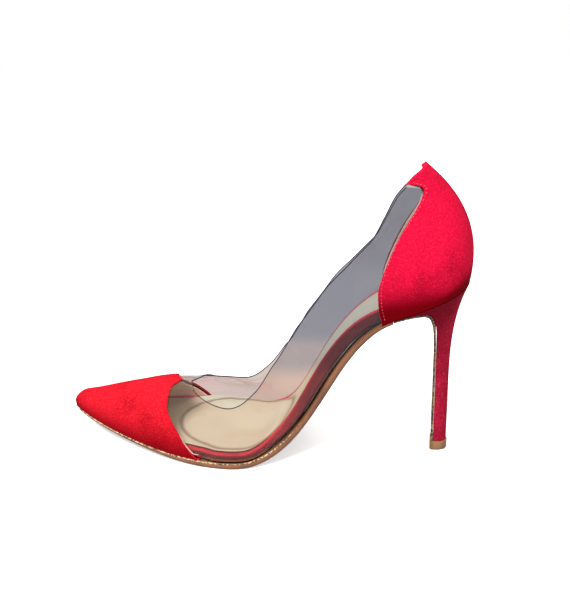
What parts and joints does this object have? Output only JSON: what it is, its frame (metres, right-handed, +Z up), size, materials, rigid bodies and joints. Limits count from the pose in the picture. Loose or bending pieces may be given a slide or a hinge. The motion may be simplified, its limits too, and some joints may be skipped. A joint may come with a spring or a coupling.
{
  "type": "high heel pump",
  "caption": "Pointed stiletto pump for the left foot: a suede toe cap and heel counter joined by a clear vamp, on a tall slim covered heel.",
  "frame": {"origin": "middle of the base, on the floor: halfway along and across the shoe's bounding box, at its lowest level", "axes": "the toe points to -X and the heel is at +X, the outer (lateral) side of the foot is -Y and the inner side is +Y, +Z is up; the shoe stands as it is worn"},
  "size_m": [0.2366, 0.0792, 0.1626],
  "materials": {
    "red_suede": "napped suede, matt",
    "rim_suede": "thin napped suede, matt",
    "clear_sheet": "clear flexible vinyl, glossy",
    "stiffener": "moulded sheet, matt",
    "heel_plastic": "moulded, matt",
    "nude_lining": "smooth, semi-matt",
    "nude_sock": "smooth, semi-matt",
    "foam": "soft open foam",
    "fibre_board": "pressed cellulose board",
    "cork": "granulated cork",
    "sole_leather": "smooth, burnished edge",
    "breast_leather": "smooth",
    "steel": "plain drawn steel",
    "top_piece_plastic": "moulded, semi-matt"
  },
  "bodies": {
    "root": {"breast_flap": "breast_leather", "clear_vamp": "clear_sheet", "counter_cover": "red_suede", "counter_lining": "nude_lining", "forefoot_pad": "foam", "heel_core": "heel_plastic", "heel_cover": "red_suede", "heel_nail_1": "steel", "heel_nail_2": "steel", "heel_nail_3": "steel", "heel_nail_4": "steel", "heel_screw": "steel", "heel_stiffener": "stiffener", "heel_tube": "steel", "insole_board": "fibre_board", "insole_rim": "rim_suede", "outsole": "sole_leather", "shank_rivet_front": "steel", "shank_rivet_rear": "steel", "sock_lining": "nude_sock", "sole_filler": "cork", "steel_shank": "steel", "toe_cap": "red_suede", "toe_lining": "nude_lining", "toe_puff": "stiffener", "top_piece": "top_piece_plastic", "top_piece_pin": "steel"}
  },
  "joints": []
}
